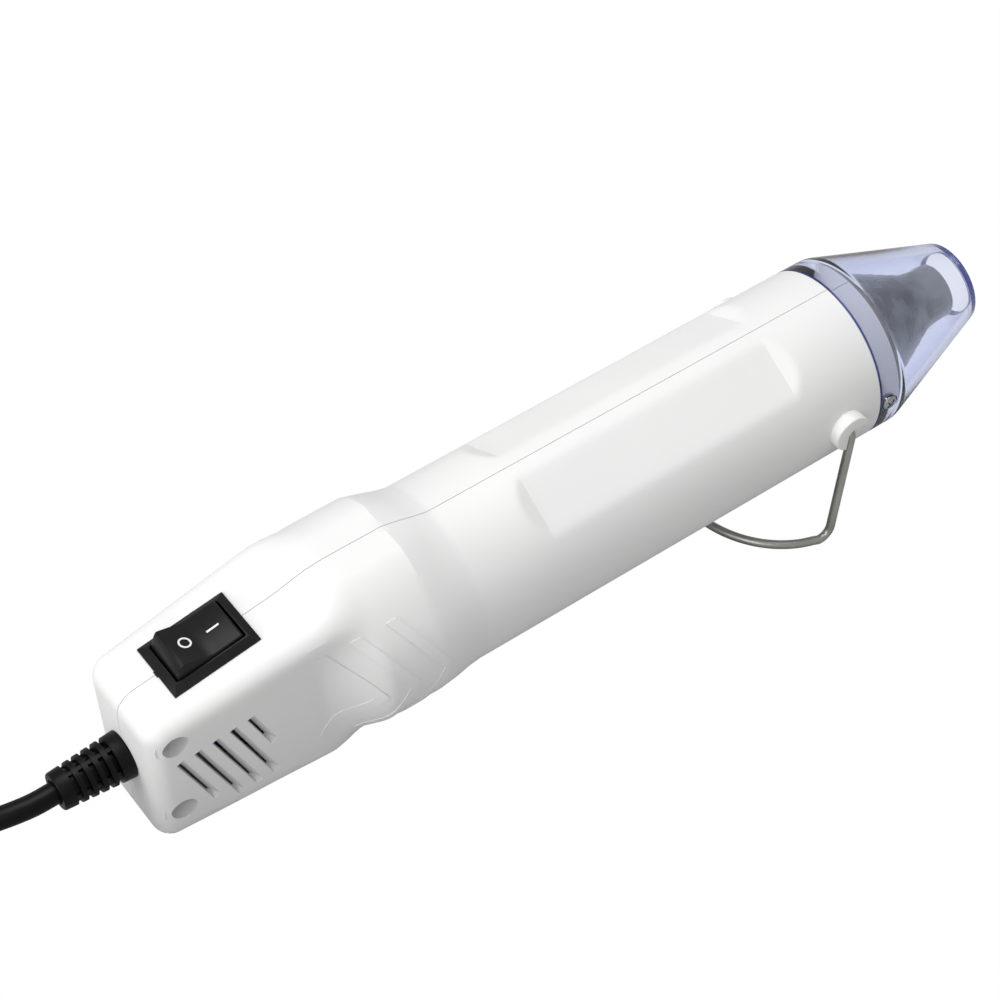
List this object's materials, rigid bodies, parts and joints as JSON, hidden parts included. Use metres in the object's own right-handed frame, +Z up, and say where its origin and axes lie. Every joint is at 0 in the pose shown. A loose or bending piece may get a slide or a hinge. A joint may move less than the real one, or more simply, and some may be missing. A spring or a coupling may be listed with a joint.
{
  "type": "embossing heat tool",
  "caption": "Slim white embossing heat tool with a clear nozzle guard, a black rocker switch and a folding wire stand, resting on its stand.",
  "frame": {"origin": "on the table under the middle of the tool, which rests on its open wire stand and its rear bottom edge", "axes": "+X from the cord towards the nozzle, +Y to the tool's left, +Z up"},
  "size_m": [0.3623, 0.0732, 0.0563],
  "materials": {
    "white_abs": "matt white ABS with a fine spark texture",
    "clear_pc": "clear polycarbonate with a pale blue tint",
    "black_plastic": "satin black nylon",
    "white_print": "white print",
    "screw_steel": "zinc plated screw steel",
    "nozzle_steel": "dark galvanised sheet steel",
    "wire_steel": "grey spring steel wire",
    "heater_steel": "sheet steel tube",
    "mica": "pressed mica",
    "heating_alloy": "oxidised resistance wire",
    "ceramic": "white ceramic fuse",
    "motor_steel": "zinc plated motor steel",
    "motor_plastic": "dark motor plastic",
    "ferrite": "grey ferrite",
    "copper": "enamelled copper winding",
    "fan_plastic": "dark glass-filled nylon",
    "board_green": "green circuit board",
    "diode_black": "black epoxy",
    "terminal_brass": "tinned brass",
    "fibre": "pressed fibre",
    "lead_brown": "brown insulation",
    "lead_blue": "blue insulation",
    "cord_pvc": "black PVC",
    "pin_steel": "nickel plated brass pins"
  },
  "bodies": {
    "casing": {"left_shell": "white_abs", "right_shell": "white_abs", "casing_screws": "screw_steel", "nozzle_guard": "clear_pc", "guard_screws": "screw_steel", "nozzle": "nozzle_steel", "mica_washer": "mica", "heater_tube": "heater_steel", "mica_liner": "mica", "mica_cross": "mica", "heating_coil": "heating_alloy", "thermal_fuse": "ceramic", "motor_can": "motor_steel", "motor_cap": "motor_plastic", "motor_magnets": "ferrite", "motor_sleeve": "cord_pvc", "rectifier_board": "board_green", "diodes": "diode_black", "switch_body": "black_plastic", "switch_terminals": "terminal_brass", "cord_clamp": "fibre", "clamp_screws": "screw_steel", "heater_leads": "lead_blue", "switch_leads": "lead_brown", "strain_relief": "cord_pvc", "cord_tail": "cord_pvc", "power_cord": "cord_pvc", "cord_coil": "cord_pvc", "cord_end": "cord_pvc", "plug_body": "cord_pvc", "plug_pins": "pin_steel"},
    "stand": {"wire_stand": "wire_steel"},
    "rocker": {"switch_rocker": "black_plastic", "switch_marks": "white_print"},
    "contact": {"switch_contact": "terminal_brass"},
    "rotor": {"motor_shaft": "screw_steel", "motor_armature": "copper", "fan": "fan_plastic"}
  },
  "joints": [
    {"name": "stand_fold", "type": "hinge", "parent": "casing", "child": "stand", "pos_m": [0.06351, 0, 0.03439], "axis": [0, -1, 0], "range_deg": [0, 96]},
    {"name": "rocker_tilt", "type": "hinge", "parent": "casing", "child": "rocker", "pos_m": [-0.09299, 0, 0.04247], "axis": [0, -1, 0], "range_deg": [0, 22]},
    {"name": "contact_tilt", "type": "hinge", "parent": "casing", "child": "contact", "pos_m": [-0.09125, 0, 0.03486], "axis": [0, -1, 0], "range_deg": [-14, 0]},
    {"name": "rotor_spin", "type": "hinge", "parent": "casing", "child": "rotor", "pos_m": [-0.05394, 0, 0.0268], "axis": [0.998, 0, 0.0636], "continuous": true}
  ],
  "couplings": [
    {"joint": "contact_tilt", "follows": "rocker_tilt", "ratio": -0.63636}
  ]
}
